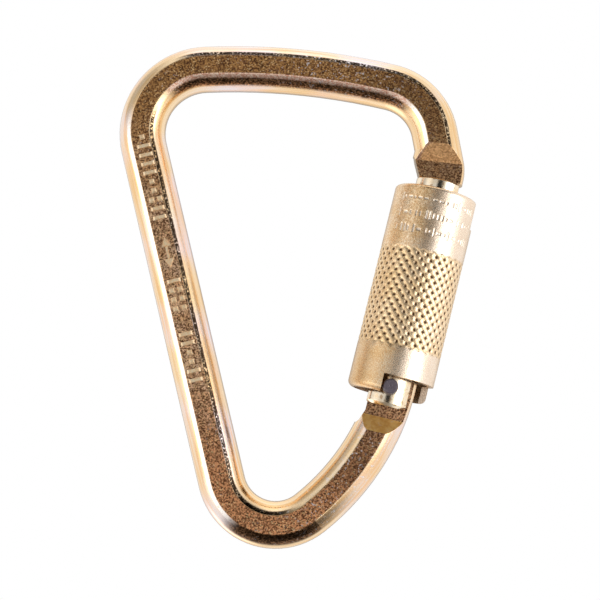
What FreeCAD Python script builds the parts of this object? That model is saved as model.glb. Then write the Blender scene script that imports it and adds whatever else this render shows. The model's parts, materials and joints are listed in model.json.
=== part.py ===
"""Locking carabiner: a large triangular steel carabiner with a twist sleeve on its gate.

Frame of the part, in millimetres: the origin is on the inside of the wide bow, midway along it and on
the mid-plane. +X points from the spine towards the gate, +Z up towards the bow, and -Y is the front,
the side where the hinge pin's long end shows.

The gate and everything on it is modelled upright in the gate's own frame: its origin is the middle of
the hinge pin, local +Z runs up the gate, local +X points out of the carabiner, and -Y is the front.
"""
import FreeCAD, Part
import math
import os
import Sketcher

# Driving dimensions: name, value in millimetres or degrees, what it is.
DRIVING = [
    ("stock_width", 12.0, "round bar of the frame, measured in the carabiner's plane"),
    ("stock_thickness", 11.0, "the same bar across the two faces pressed flat"),
    ("flat_edge", 0.6, "rounding between the flats and the round sides"),
    ("bow_radius", 176.0, "centre line of the wide bow, which is only slightly arched"),
    ("bow_sweep", 15.9, "angle of the bow's arc"),
    ("bow_tilt", 6.1, "how far the bow leans down towards the nose"),
    ("spine_corner_radius", 17.0, "centre line of the corner between bow and spine"),
    ("spine_corner_sweep", 101.5, "angle of that corner"),
    ("spine_length", 89.2, "straight part of the spine"),
    ("apex_radius", 14.1, "centre line of the narrow end"),
    ("apex_sweep", 114.5, "angle of the narrow end"),
    ("arm_radius", 61.0, "centre line of the lower arm"),
    ("arm_sweep", 27.2, "angle of the lower arm"),
    ("hinge_bend_radius", 53.0, "centre line of the last bend, beside the hinge pin"),
    ("hinge_bend_sweep", 11.4, "angle of that bend"),
    ("hinge_end", 6.9, "straight bar past the bend, before the cam is cut on it"),
    ("nose_corner_radius", 15.4, "centre line of the corner between bow and nose"),
    ("nose_corner_sweep", 66.0, "angle of that corner"),
    ("nose_length", 8.9, "straight bar from that corner down to the nose's bend"),
    ("nose_bend_radius", 7.0, "centre line of the bend that lines the nose up with the gate"),
    ("nose_end", 1.2, "straight bar from that bend down to the gate"),
    ("pin_x", 23.74, "hinge pin, across"),
    ("pin_z", -77.3, "hinge pin, height"),
    ("gate_lean", 14.2, "how far the gate leans outwards at its top"),
    ("tongue_thickness", 5.8, "hinge tongue between the fork's cheeks"),
    ("tongue_level", 7.7, "the milled facet starts this far below the pin"),
    ("facet_end", 11.7, "and reaches the flat face this far below it"),
    ("shoulder_radius", 12.2, "relief about the pin that the sleeve's skirt swings past"),
    ("shoulder_start", 6.4, "inner end of that relief, from the gate's axis"),
    ("relief_start", 6.8, "the tongue's inner edge starts to slant this far below the pin"),
    ("relief_corner", 5.75, "where that slant ends, from the gate's axis"),
    ("relief_corner_drop", 9.6, "and how far that is below the pin"),
    ("tongue_inner", 4.75, "inner edge of the tongue, from the pin"),
    ("cam_radius", 6.25, "pin to the centre of the plunger's tip, gate closed"),
    ("cam_rise", 1.8, "extra radius of the cam for each radian that the gate opens"),
    ("cam_end", 47.0, "angle of the cam's curve"),
    ("tip_radius", 1.0, "round tip of the plunger"),
    ("cam_gap", 0.05, "gap between tip and cam"),
    ("cam_shoulder", 4.7, "outer end of the cam, from the pin"),
    ("cam_shoulder_height", 3.0, "that end, above the pin"),
    ("cam_outer_height", 1.6, "top of the tongue far outside the bar, above the pin"),
    ("blade_thickness", 5.8, "nose blade in the gate's top slot"),
    ("nose_milling_lean", 7.3, "lean of the milling at the nose"),
    ("blade_level", 59.6, "the nose facet starts this far up that line from the pin"),
    ("blade_facet_end", 64.0, "and reaches the flat face this far up it"),
    ("blade_inner", 4.4, "inner edge of the blade, from the gate's axis"),
    ("blade_outer", 4.5, "outer edge of the blade, from the gate's axis"),
    ("hook_inner", 3.4, "inner side of the hook's stem"),
    ("hook_tip_inner", 3.2, "inner corner of the hook's lowest edge"),
    ("hook_corner", 2.6, "slanted outer corner of the hook"),
    ("lip_inner", 3.9, "widest point of the hook's lip"),
    ("lip_slant", 0.5, "slanted upper corner of the lip"),
    ("neck_inner", 5.65, "inner edge of the nose just above the gate"),
    ("neck_gap", 0.12, "gap between the nose and the top of the gate"),
    ("heel_inner", 8.1, "inner corner of the forged nose, from the gate's axis"),
    ("heel_height", 60.0, "that corner, above the pin"),
    ("heel_top", 64.6, "top of the thick stub that forms it, buried in the bar"),
    ("heel_bulge", 0.2, "the stub's inner side lies this far outside that corner"),
    ("heel_set_in", 0.15, "the stub is this much smaller all round than the bar"),
    ("hook_foot", 46.8, "lowest point of the nose hook"),
    ("gate_radius", 6.0, "gate body"),
    ("gate_bottom", 4.8, "gate body below the pin"),
    ("gate_bottom_bevel", 0.8, "bevel round that end"),
    ("gate_top_bevel", 0.4, "bevel round the other end"),
    ("gate_top", 55.1, "gate body above the pin"),
    ("fork_slot", 6.4, "slot for the tongue"),
    ("fork_depth", 7.6, "top of that slot, above the pin"),
    ("top_slot", 6.4, "slot for the nose blade"),
    ("top_slot_wall", 4.6, "closed inner end of that slot, from the gate's axis"),
    ("top_slot_floor", 46.2, "bottom of that slot"),
    ("bore_radius", 2.3, "spring bore in the gate"),
    ("bore_top", 40.0, "blind end of the spring bore"),
    ("pin_radius", 1.9, "hinge pin"),
    ("pin_clearance", 0.06, "radial running clearance of the tongue on the hinge pin"),
    ("pin_front", 10.2, "long end of the hinge pin, in front of the mid-plane"),
    ("pin_bevel", 0.3, "bevel round both ends of that pin"),
    ("dimple_radius", 0.45, "centre mark in its long end"),
    ("dimple_depth", 0.3, "depth of that mark"),
    ("pin_back", 5.3, "short end of the hinge pin, behind the mid-plane"),
    ("latch_radius", 1.5, "latch pin across the top slot"),
    ("latch_height", 50.6, "latch pin above the hinge pin"),
    ("latch_inset", 1.2, "latch pin's offset to the inner side of the gate's axis"),
    ("latch_length", 10.2, "length of the latch pin, sunk at both ends"),
    ("latch_gap", 0.25, "gap between the latch pin and the hook"),
    ("sleeve_radius", 10.8, "outside of the lock sleeve"),
    ("sleeve_foot", 1.65, "skirt of the sleeve, below the pin"),
    ("sleeve_top", 51.9, "top of the sleeve, above the pin"),
    ("sleeve_bore", 6.08, "upper bore of the sleeve, which runs on the gate body"),
    ("foot_rounding", 1.6, "rounding of the sleeve's lower edge"),
    ("top_rounding", 1.0, "rounding of the sleeve's upper edge"),
    ("chamber_radius", 9.1, "spring chamber in the sleeve"),
    ("chamber_top", 40.0, "roof of the spring chamber"),
    ("notch_top", 2.85, "top edge of the notch in the skirt, above the pin"),
    ("notch_gap", 0.45, "gap between the pin and the notch's end walls"),
    ("twist_range", 103.0, "turn of the sleeve between its two stops"),
    ("nose_slot", 6.4, "slot in the sleeve that lets the nose out"),
    ("nose_slot_floor", 44.5, "bottom of that slot"),
    ("bush_foot", 3.2, "bottom of the sleeve's bush"),
    ("bush_top", 8.0, "top of the sleeve's bush"),
    ("ring_foot", 8.2, "bottom of the retaining ring"),
    ("ring_height", 1.0, "thickness of the retaining ring"),
    ("ring_radius", 7.4, "outside of the retaining ring"),
    ("groove_radius", 5.35, "bottom of the ring's groove"),
    ("ring_gap", 5.0, "opening of the retaining ring"),
    ("plunger_radius", 2.22, "spring plunger"),
    ("plunger_shoulder", 15.0, "top of the plunger's barrel, where the spring sits"),
    ("plunger_spigot", 17.0, "top of the plunger's spigot"),
    ("spigot_radius", 1.1, "spigot inside the spring"),
    ("gate_wire", 0.7, "wire of the gate spring"),
    ("gate_coil", 1.75, "mean coil radius of the gate spring"),
    ("gate_coils", 13.0, "turns of the gate spring"),
    ("sleeve_wire", 1.2, "wire of the sleeve spring"),
    ("sleeve_coil", 7.5, "mean coil radius of the sleeve spring"),
    ("sleeve_coils", 10.0, "turns of the sleeve spring"),
    ("sleeve_coil_foot", 10.6, "first turn of the sleeve spring"),
    ("sleeve_coil_top", 36.0, "last turn of the sleeve spring"),
    ("leg_gap", 0.05, "clearance of the springs in their seats and of the legs in their holes"),
    ("leg_hole_end", 2.9, "blind end of the lower leg's hole, from the gate's axis"),
    ("leg_end", 3.5, "end of the lower leg, from the gate's axis"),
    ("leg_spare", 0.5, "room above the end of the upper leg"),
    ("leg_socket", 3.0, "depth of the hole for the sleeve spring's upper leg"),
]

doc = FreeCAD.newDocument("locking_carabiner")
sheet = doc.addObject("Spreadsheet::Sheet", "dims")


class Size:
    """A number together with the sheet formula that it comes from."""

    def __init__(self, value, formula):
        self.value = float(value)
        self.formula = formula

    def __add__(self, other):
        other = size(other)
        return Size(self.value + other.value, f"({self.formula} + {other.formula})")

    def __sub__(self, other):
        other = size(other)
        return Size(self.value - other.value, f"({self.formula} - {other.formula})")

    def __mul__(self, other):
        other = size(other)
        return Size(self.value * other.value, f"({self.formula} * {other.formula})")

    def __truediv__(self, other):
        other = size(other)
        return Size(self.value / other.value, f"({self.formula} / {other.formula})")

    def __neg__(self):
        return Size(-self.value, f"(0 - {self.formula})")

    def __rsub__(self, other):
        return size(other) - self

    __radd__ = __add__
    __rmul__ = __mul__


def size(value):
    return value if isinstance(value, Size) else Size(value, repr(float(value)))


def sine(angle):
    return Size(math.sin(math.radians(angle.value)), f"sin({angle.formula} * 1 deg)")


def cosine(angle):
    return Size(math.cos(math.radians(angle.value)), f"cos({angle.formula} * 1 deg)")


def fill_sheet():
    """Put every driving dimension in the sheet and return them by name."""
    sizes = {}
    for row, (name, value, meaning) in enumerate(DRIVING, start=1):
        sheet.set(f"A{row}", name)
        sheet.set(f"B{row}", str(value))
        sheet.set(f"C{row}", meaning)
        sheet.setAlias(f"B{row}", name)
        sizes[name] = Size(value, f"dims.{name}")
    doc.recompute()
    return sizes


d = fill_sheet()


# ---------------------------------------------------------------- helpers

def new_body(name, on_gate=True):
    """A body; one that belongs to the gate stands in the gate's frame."""
    body = doc.addObject("PartDesign::Body", name)
    body.Label = name
    if on_gate:
        body.Placement = FreeCAD.Placement(FreeCAD.Vector(0, 0, 0), FreeCAD.Vector(0, 1, 0), 1)
        body.setExpression("Placement.Base.x", d["pin_x"].formula)
        body.setExpression("Placement.Base.z", d["pin_z"].formula)
        body.setExpression("Placement.Rotation.Angle", f"{d['gate_lean'].formula} * 1 deg")
    return body


def new_sketch(body, name, role, shift=(0, 0, 0), turn_axis=None, turn=None):
    """A sketch on one of the body's origin planes, shifted and turned in that plane's own axes."""
    sketch = body.newObject("Sketcher::SketchObject", name)
    plane = [item for item in body.Origin.OriginFeatures if item.Role == role][0]
    sketch.AttachmentSupport = [(plane, "")]
    sketch.MapMode = "FlatFace"
    if turn_axis:
        sketch.AttachmentOffset = FreeCAD.Placement(FreeCAD.Vector(0, 0, 0), FreeCAD.Vector(*turn_axis), 1)
        sketch.setExpression("AttachmentOffset.Rotation.Angle", f"{turn.formula} * 1 deg")
    for letter, value in zip("xyz", shift):
        sketch.setExpression(f"AttachmentOffset.Base.{letter}", size(value).formula)
    return sketch


def constrain(sketch, kind, *where, value):
    """A dimension bound to the sheet; angles are given in degrees."""
    if kind == "Angle":
        index = sketch.addConstraint(Sketcher.Constraint(kind, *where, math.radians(value.value)))
        sketch.setExpression(f"Constraints[{index}]", f"{value.formula} * 1 deg")
    else:
        index = sketch.addConstraint(Sketcher.Constraint(kind, *where, value.value))
        sketch.setExpression(f"Constraints[{index}]", value.formula)


def pin_point(sketch, geometry, end, x, y):
    """Hold one end of a line or arc, or a circle's centre, at a place."""
    constrain(sketch, "DistanceX", -1, 1, geometry, end, value=size(x))
    constrain(sketch, "DistanceY", -1, 1, geometry, end, value=size(y))


def outline(sketch, points):
    """A closed outline of straight lines through points."""
    points = [(size(x), size(y)) for x, y in points]
    corners = [FreeCAD.Vector(x.value, y.value, 0) for x, y in points]
    first = sketch.GeometryCount
    count = len(points)
    for index in range(count):
        sketch.addGeometry(Part.LineSegment(corners[index], corners[(index + 1) % count]))
    for index in range(count):
        line = first + index
        following = first + (index + 1) % count
        sketch.addConstraint(Sketcher.Constraint("Coincident", line, 2, following, 1))
        pin_point(sketch, line, 1, *points[index])


def circle(sketch, x, y, radius):
    x, y, radius = size(x), size(y), size(radius)
    centre = FreeCAD.Vector(x.value, y.value, 0)
    index = sketch.addGeometry(Part.Circle(centre, FreeCAD.Vector(0, 0, 1), radius.value))
    constrain(sketch, "Radius", index, value=radius)
    pin_point(sketch, index, 3, x, y)


def finish_feature(body, feature, grows):
    """Recompute, and stop if the feature didn't add or take away material."""
    before = 0.0
    if feature.BaseFeature is not None:
        before = feature.BaseFeature.Shape.Volume
    doc.recompute()
    change = body.Shape.Volume - before
    if (change > 0) != grows or abs(change) < 1e-3:
        raise RuntimeError(f"{body.Label}: {feature.Name} changed the volume by {change:.4f}")
    return feature


def pad(body, sketch, length, symmetric=False):
    feature = body.newObject("PartDesign::Pad", f"{sketch.Name}_pad")
    feature.Profile = sketch
    feature.SideType = "Symmetric" if symmetric else "One side"
    feature.setExpression("Length", size(length).formula)
    return finish_feature(body, feature, grows=True)


def pocket(body, sketch, length, symmetric=True, reverse=False):
    feature = body.newObject("PartDesign::Pocket", f"{sketch.Name}_cut")
    feature.Profile = sketch
    feature.SideType = "Symmetric" if symmetric else "One side"
    feature.Reversed = reverse
    feature.setExpression("Length", size(length).formula)
    return finish_feature(body, feature, grows=False)


def turn(body, sketch, remove=False):
    """Revolve a half profile about the upright axis of its sketch."""
    kind = "Groove" if remove else "Revolution"
    feature = body.newObject(f"PartDesign::{kind}", f"{sketch.Name}_turned")
    feature.Profile = sketch
    feature.ReferenceAxis = (sketch, ["V_Axis"])
    feature.Angle = 360
    return finish_feature(body, feature, grows=not remove)


def coil(body, sketch, height, turns):
    """Sweep a wire section along a helix about the upright axis of its sketch."""
    feature = body.newObject("PartDesign::AdditiveHelix", f"{sketch.Name}_coil")
    feature.Profile = sketch
    feature.ReferenceAxis = (sketch, ["V_Axis"])
    feature.Mode = "pitch-height-angle"
    feature.setExpression("Pitch", (height / turns).formula)
    feature.setExpression("Height", height.formula)
    return finish_feature(body, feature, grows=True)


def is_rim(edge, radius, height):
    """True for a whole circle of this radius about the local Z axis at this height."""
    curve = edge.Curve
    if not isinstance(curve, Part.Circle):
        return False
    return abs(curve.Radius - radius.value) < 0.01 and abs(curve.Center.z - height.value) < 0.01


def round_rim(body, amount, radius, height):
    """Fillet the outer rim at this height."""
    tip = body.Tip
    names = [f"Edge{i}" for i, edge in enumerate(tip.Shape.Edges, start=1) if is_rim(edge, radius, height)]
    if not names:
        raise RuntimeError(f"{body.Label}: no rim to round")
    feature = body.newObject("PartDesign::Fillet", f"{body.Name}_rim")
    feature.Base = (tip, names)
    feature.setExpression("Radius", amount.formula)
    finish_feature(body, feature, grows=False)


# ---------------------------------------------------------------- frame

def bar_start():
    """Where the bar's centre line starts, its outward normal there, and the nose's small bend."""
    reach = d["bow_radius"] - d["stock_width"] / 2
    centre = (-(reach * sine(d["bow_tilt"])), -(reach * cosine(d["bow_tilt"])))
    corner = d["bow_tilt"] + d["bow_sweep"] / 2
    step = d["bow_radius"] - d["nose_corner_radius"]
    centre = (centre[0] + step * sine(corner), centre[1] + step * cosine(corner))
    normal = corner + d["nose_corner_sweep"]
    step = d["nose_corner_radius"] - d["nose_bend_radius"]
    centre = (
        centre[0] + step * sine(normal) + d["nose_length"] * cosine(normal),
        centre[1] + step * cosine(normal) - d["nose_length"] * sine(normal),
    )
    bend = 90 + d["gate_lean"] - normal
    normal = 90 + d["gate_lean"]
    x = centre[0] + d["nose_bend_radius"] * sine(normal) + d["nose_end"] * cosine(normal)
    z = centre[1] + d["nose_bend_radius"] * cosine(normal) - d["nose_end"] * sine(normal)
    return x, z, normal, bend


def bar_path(sketch):
    """The centre line, anticlockwise from the nose over the bow and down the spine to the hinge."""
    x, z, normal, bend = bar_start()
    runs = [
        ("line", d["nose_end"]),
        ("arc", d["nose_bend_radius"], bend),
        ("line", d["nose_length"]),
        ("arc", d["nose_corner_radius"], d["nose_corner_sweep"]),
        ("arc", d["bow_radius"], d["bow_sweep"]),
        ("arc", d["spine_corner_radius"], d["spine_corner_sweep"]),
        ("line", d["spine_length"]),
        ("arc", d["apex_radius"], d["apex_sweep"]),
        ("arc", d["arm_radius"], d["arm_sweep"]),
        ("arc", d["hinge_bend_radius"], d["hinge_bend_sweep"]),
        ("line", d["hinge_end"]),
    ]
    here = FreeCAD.Vector(x.value, z.value, 0)
    heading = math.radians(180 - normal.value)
    heading_size = 180 - normal
    for index, run in enumerate(runs):
        along = FreeCAD.Vector(math.cos(heading), math.sin(heading), 0)
        if run[0] == "line":
            end = here + along * run[1].value
            sketch.addGeometry(Part.LineSegment(here, end))
        else:
            radius, sweep = run[1].value, math.radians(run[2].value)
            left = FreeCAD.Vector(-along.y, along.x, 0)
            centre = here + left * radius
            start = heading - math.pi / 2
            ring = Part.Circle(centre, FreeCAD.Vector(0, 0, 1), radius)
            sketch.addGeometry(Part.ArcOfCircle(ring, start, start + sweep))
            heading += sweep
            end = centre + FreeCAD.Vector(math.sin(heading), -math.cos(heading), 0) * radius
        if index == 0:
            pin_point(sketch, 0, 1, x, z)
            constrain(sketch, "Angle", 0, value=heading_size)
        else:
            sketch.addConstraint(Sketcher.Constraint("Tangent", index - 1, 2, index, 1))
        if run[0] == "line":
            constrain(sketch, "Distance", index, value=run[1])
        else:
            constrain(sketch, "Radius", index, value=run[1])
            constrain(sketch, "Angle", index, value=run[2])
        here = end


def bar_section(sketch, outer, face):
    """The pressed bar: a circle with two parallel flats, rounded where they meet."""
    half = face.value
    radius = outer.value
    edge = d["flat_edge"].value
    height = half - edge
    offset = math.sqrt((radius - edge) ** 2 - height ** 2)
    slope = math.atan2(height, offset)
    quarter = math.pi / 2

    def arc(x, y, size_of, start, end):
        ring = Part.Circle(FreeCAD.Vector(x, y, 0), FreeCAD.Vector(0, 0, 1), size_of)
        return sketch.addGeometry(Part.ArcOfCircle(ring, start, end))

    def line(x, y):
        return sketch.addGeometry(Part.LineSegment(FreeCAD.Vector(x, y, 0), FreeCAD.Vector(-x, y, 0)))

    right = arc(0, 0, radius, -slope, slope)
    upper_right = arc(offset, height, edge, slope, quarter)
    top = line(offset, half)
    upper_left = arc(-offset, height, edge, quarter, 2 * quarter - slope)
    left = arc(0, 0, radius, 2 * quarter - slope, 2 * quarter + slope)
    lower_left = arc(-offset, -height, edge, 2 * quarter + slope, 3 * quarter)
    bottom = line(-offset, -half)
    lower_right = arc(offset, -height, edge, 3 * quarter, 4 * quarter - slope)
    ring = (right, upper_right, top, upper_left, left, lower_left, bottom, lower_right)
    for first, second in zip(ring, ring[1:] + ring[:1]):
        sketch.addConstraint(Sketcher.Constraint("Tangent", first, 2, second, 1))
    for side in (right, left):
        sketch.addConstraint(Sketcher.Constraint("Coincident", side, 3, -1, 1))
        constrain(sketch, "Radius", side, value=outer)
    for corner in (upper_right, upper_left, lower_left, lower_right):
        constrain(sketch, "Radius", corner, value=d["flat_edge"])
    sketch.addConstraint(Sketcher.Constraint("Horizontal", top))
    sketch.addConstraint(Sketcher.Constraint("Horizontal", bottom))
    constrain(sketch, "DistanceY", -1, 1, top, 1, value=face)
    constrain(sketch, "DistanceY", bottom, 1, -1, 1, value=face)


def on_gate(x, z):
    """A place given in the gate's frame, in the part's frame."""
    lean = d["gate_lean"]
    across = d["pin_x"] + x * cosine(lean) + z * sine(lean)
    height = d["pin_z"] - x * sine(lean) + z * cosine(lean)
    return across, size(0), height


def gate_plane_sketch(body, name):
    """A sketch in the carabiner's plane with its axes along the gate: x outwards, y up the gate."""
    shift = (d["pin_x"], d["pin_z"], 0)
    return new_sketch(body, name, "XZ_Plane", shift, (0, 0, -1), d["gate_lean"])


def side_sketch(body, name, lean):
    """A sketch across the carabiner's plane: x is the part's Y, y leans outwards from the pin."""
    shift = (0, d["pin_z"], d["pin_x"])
    return new_sketch(body, name, "YZ_Plane", shift, (1, 0, 0), lean)


def mill_both_faces(body, name, lean, half, start, facet_end, outer_end):
    """Mill the bar down to a blade of the given half thickness, with a sloping facet at its root."""
    face = d["stock_thickness"] / 2
    slope = (face - half) / (facet_end - start)
    spare = 1.0
    through = 2.4       # in widths of the bar, from its middle out past both edges
    beyond = facet_end + size(spare) / slope
    for side, sign in (("front", -1), ("back", 1)):
        sketch = side_sketch(body, f"{name}_{side}", lean)
        outline(sketch, [
            (half * sign, outer_end),
            (half * sign, start),
            ((face + spare) * sign, beyond),
            ((face + spare) * sign, outer_end),
        ])
        pocket(body, sketch, d["stock_width"] * through)


def cam_point(angle):
    """A point of the cam, a spiral about the pin set in by the tip's radius; angle is in degrees."""
    turned = math.radians(angle)
    radius = d["cam_radius"].value + d["cam_rise"].value * turned
    centre = FreeCAD.Vector(-radius * math.sin(turned), radius * math.cos(turned), 0)
    rise = d["cam_rise"].value
    radial = centre / radius
    tangent = FreeCAD.Vector(-math.cos(turned), -math.sin(turned), 0)
    normal = (radial * radius - tangent * rise).normalize()
    return centre - normal * (d["tip_radius"].value + d["cam_gap"].value)


def cam_cut(sketch):
    """Everything above the cam: one arc along the spiral, closed well clear of the bar.

    The points are worked out from the sheet when this script runs, and aren't constrained in the sketch.
    """
    end = d["cam_end"].value
    start_point, middle_point, end_point = cam_point(0), cam_point(end / 2), cam_point(end)
    outside = 16.0
    crown = 14.0
    shoulder = FreeCAD.Vector(d["cam_shoulder"].value, d["cam_shoulder_height"].value, 0)
    corner = FreeCAD.Vector(outside, d["cam_outer_height"].value, 0)
    points = [
        start_point,
        shoulder,
        corner,
        FreeCAD.Vector(outside, crown, 0),
        FreeCAD.Vector(-outside, crown, 0),
        FreeCAD.Vector(-outside, end_point.y, 0),
        end_point,
    ]
    for first, second in zip(points, points[1:]):
        sketch.addGeometry(Part.LineSegment(first, second))
    sketch.addGeometry(Part.Arc(end_point, middle_point, start_point))


def shoulder_cut(sketch):
    """Room beside the tongue for the gate and the sleeve's skirt as they swing inwards.

    The points are worked out from the sheet when this script runs, and aren't constrained in the sketch.
    """
    inner = d["tongue_inner"].value
    radius = d["shoulder_radius"].value
    start = d["shoulder_start"].value
    bow = 0.5
    crown = 9.0
    low = FreeCAD.Vector(-start, -math.sqrt(radius ** 2 - start ** 2), 0)
    middle = FreeCAD.Vector(-radius * math.cos(bow), -radius * math.sin(bow), 0)
    high = FreeCAD.Vector(-radius, 0, 0)
    points = [
        high,
        FreeCAD.Vector(-radius, crown, 0),
        FreeCAD.Vector(-inner, crown, 0),
        FreeCAD.Vector(-inner, -d["relief_start"].value, 0),
        FreeCAD.Vector(-d["relief_corner"].value, -d["relief_corner_drop"].value, 0),
        low,
    ]
    sketch.addGeometry(Part.Arc(low, middle, high))
    for first, second in zip(points, points[1:]):
        sketch.addGeometry(Part.LineSegment(first, second))


def make_frame():
    body = new_body("frame", on_gate=False)
    path = new_sketch(body, "bar_path", "XZ_Plane")
    bar_path(path)
    x, z, normal, bend = bar_start()
    section = new_sketch(body, "bar_section", "XY_Plane", (x, 0, z), (0, 1, 0), normal - 90)
    bar_section(section, d["stock_width"] / 2, d["stock_thickness"] / 2)
    doc.recompute()
    bar = body.newObject("PartDesign::AdditivePipe", "bar")
    bar.Profile = section
    bar.Spine = (path, [f"Edge{i + 1}" for i in range(path.GeometryCount)])
    bar.Mode = "Binormal"
    bar.Binormal = FreeCAD.Vector(0, 1, 0)
    finish_feature(body, bar, grows=True)

    blade = gate_plane_sketch(body, "nose_blade")
    throat = d["latch_height"] + d["latch_radius"] + d["latch_gap"]
    lip = d["latch_height"] - d["latch_radius"] - d["latch_gap"]
    neck = d["gate_top"] + d["neck_gap"]
    overlap = 2
    outline(blade, [
        (-d["blade_inner"], d["gate_top"] + overlap),
        (-d["blade_inner"], throat),
        (-d["hook_inner"], throat),
        (-d["hook_inner"], lip),
        (-d["lip_inner"], lip - d["lip_slant"]),
        (-d["hook_tip_inner"], d["hook_foot"]),
        (d["hook_inner"], d["hook_foot"]),
        (d["blade_outer"], d["hook_foot"] + d["hook_corner"]),
        (d["blade_outer"], d["gate_top"] + overlap),
    ])
    pad(body, blade, d["blade_thickness"], symmetric=True)
    heel_radius = d["stock_width"] / 2 - d["heel_set_in"]
    heel_x = heel_radius - d["heel_inner"] - d["heel_bulge"]
    place = on_gate(heel_x, neck)
    heel = new_sketch(body, "nose_heel", "XY_Plane", place, (0, 1, 0), d["gate_lean"])
    bar_section(heel, heel_radius, d["stock_thickness"] / 2 - d["heel_set_in"])
    pad(body, heel, d["heel_top"] - neck)
    trim = gate_plane_sketch(body, "nose_inner_edge")
    clear = 12
    outline(trim, [
        (-d["blade_inner"], d["gate_top"] - overlap),
        (-d["blade_inner"], neck),
        (-d["neck_inner"], neck),
        (-d["heel_inner"], d["heel_height"]),
        (size(-clear), d["heel_height"]),
        (size(-clear), d["gate_top"] - overlap),
    ])
    pocket(body, trim, d["stock_width"])

    past_pin = 12
    mill_both_faces(body, "hinge_milling", d["gate_lean"], d["tongue_thickness"] / 2,
                    -d["tongue_level"], -d["facet_end"], size(past_pin))
    mill_both_faces(body, "nose_milling", d["nose_milling_lean"], d["blade_thickness"] / 2,
                    d["blade_level"], d["blade_facet_end"], d["hook_foot"])

    hook = gate_plane_sketch(body, "hook_throat")
    outline(hook, [
        (size(-clear), throat),
        (size(-clear), lip),
        (-d["latch_inset"], lip),
        (-d["latch_inset"], throat),
    ])
    pocket(body, hook, d["stock_width"])
    seat = gate_plane_sketch(body, "hook_seat")
    circle(seat, -d["latch_inset"], d["latch_height"], d["latch_radius"] + d["latch_gap"])
    pocket(body, seat, d["stock_width"])

    cam = gate_plane_sketch(body, "cam")
    cam_cut(cam)
    pocket(body, cam, d["stock_width"])
    shoulder = gate_plane_sketch(body, "shoulder_relief")
    shoulder_cut(shoulder)
    pocket(body, shoulder, d["stock_width"])
    eye = gate_plane_sketch(body, "hinge_eye")
    circle(eye, 0, 0, d["pin_radius"] + d["pin_clearance"])
    pocket(body, eye, d["stock_width"])
    return body


# ---------------------------------------------------------------- gate

def make_gate_body():
    body = new_body("gate_body")
    profile = new_sketch(body, "gate_profile", "XZ_Plane")
    radius = d["gate_radius"]
    groove = d["groove_radius"]
    bottom_bevel = d["gate_bottom_bevel"]
    top_bevel = d["gate_top_bevel"]
    outline(profile, [
        (0, -d["gate_bottom"]),
        (radius - bottom_bevel, -d["gate_bottom"]),
        (radius, -d["gate_bottom"] + bottom_bevel),
        (radius, d["ring_foot"]),
        (groove, d["ring_foot"]),
        (groove, d["ring_foot"] + d["ring_height"]),
        (radius, d["ring_foot"] + d["ring_height"]),
        (radius, d["gate_top"] - top_bevel),
        (radius - top_bevel, d["gate_top"]),
        (0, d["gate_top"]),
    ])
    turn(body, profile)

    fork = new_sketch(body, "fork_slot", "YZ_Plane")
    half = d["fork_slot"] / 2
    below = -d["gate_bottom"] - 1
    outline(fork, [(-half, below), (half, below), (half, d["fork_depth"]), (-half, d["fork_depth"])])
    pocket(body, fork, d["gate_radius"] * 3)

    slot = new_sketch(body, "nose_slot", "YZ_Plane", (0, 0, -d["top_slot_wall"]))
    half = d["top_slot"] / 2
    above = d["gate_top"] + 1
    floor = d["top_slot_floor"]
    outline(slot, [(-half, floor), (half, floor), (half, above), (-half, above)])
    pocket(body, slot, d["gate_radius"] * 3, symmetric=False, reverse=True)

    bore = new_sketch(body, "spring_bore", "XY_Plane", (0, 0, d["bore_top"]))
    circle(bore, 0, 0, d["bore_radius"])
    pocket(body, bore, d["bore_top"] - d["fork_depth"] + 1, symmetric=False)

    pins = new_sketch(body, "pin_holes", "XZ_Plane")
    circle(pins, 0, 0, d["pin_radius"])
    circle(pins, -d["latch_inset"], d["latch_height"], d["latch_radius"])
    pocket(body, pins, d["gate_radius"] * 3)

    leg = new_sketch(body, "leg_hole", "YZ_Plane", (0, 0, d["leg_hole_end"]))
    circle(leg, 0, d["sleeve_coil_foot"], d["sleeve_wire"] / 2 + d["leg_gap"])
    pocket(body, leg, d["gate_radius"], symmetric=False, reverse=True)
    return body


def make_hinge_pin():
    body = new_body("hinge_pin")
    profile = new_sketch(body, "pin_profile", "XY_Plane")
    radius = d["pin_radius"]
    bevel = d["pin_bevel"]
    outline(profile, [
        (0, -d["pin_front"] + d["dimple_depth"]),
        (d["dimple_radius"], -d["pin_front"]),
        (radius - bevel, -d["pin_front"]),
        (radius, -d["pin_front"] + bevel),
        (radius, d["pin_back"] - bevel),
        (radius - bevel, d["pin_back"]),
        (0, d["pin_back"]),
    ])
    turn(body, profile)
    return body


def make_latch_pin():
    body = new_body("latch_pin")
    shift = (-d["latch_inset"], d["latch_height"], 0)
    profile = new_sketch(body, "latch_profile", "XZ_Plane", shift)
    circle(profile, 0, 0, d["latch_radius"])
    pad(body, profile, d["latch_length"], symmetric=True)
    return body


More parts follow.
